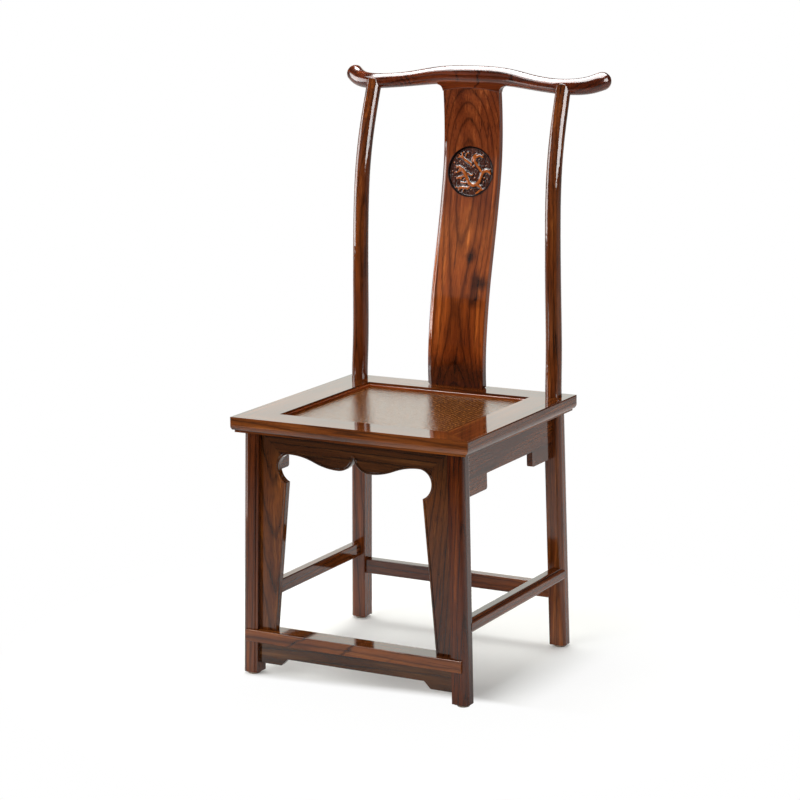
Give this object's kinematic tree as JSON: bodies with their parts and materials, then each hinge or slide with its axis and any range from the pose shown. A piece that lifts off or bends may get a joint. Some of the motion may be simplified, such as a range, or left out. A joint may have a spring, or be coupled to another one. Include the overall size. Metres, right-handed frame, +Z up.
{
  "type": "side chair",
  "caption": "Armless yoke-back side chair with a cane seat, round rear posts, S-curved splat, ogee front apron, footrest and stepped stretchers.",
  "frame": {"origin": "on the floor, under the middle of the chair's overall width and depth", "axes": "+Z up, -Y towards the front of the seat, +X to the chair's right as seen from the front"},
  "size_m": [0.5752, 0.548, 1.124],
  "materials": {
    "wood": "gloss lacquer",
    "cane": "fine woven cane, varnished",
    "glide": "matte",
    "steel": "plain"
  },
  "bodies": {
    "root": {"crest_rail": "wood", "rear_leg_left": "wood", "rear_leg_right": "wood", "splat": "wood", "front_leg_left": "wood", "front_leg_right": "wood", "seat_rail_front": "wood", "seat_rail_rear": "wood", "seat_rail_left": "wood", "seat_rail_right": "wood", "seat_panel": "wood", "seat_batten_left": "wood", "seat_batten_right": "wood", "mat_strip_front": "wood", "mat_strip_rear": "wood", "mat_strip_left": "wood", "mat_strip_right": "wood", "front_apron_top": "wood", "front_apron_left": "wood", "front_apron_right": "wood", "side_apron_left": "wood", "side_apron_right": "wood", "rear_apron": "wood", "footrest": "wood", "footrest_apron": "wood", "side_stretcher_left": "wood", "side_stretcher_right": "wood", "rear_stretcher": "wood", "seat_cane_mat": "cane", "glide_front_left": "glide", "glide_front_right": "glide", "glide_rear_left": "glide", "glide_rear_right": "glide", "glide_nails": "steel"}
  },
  "joints": []
}
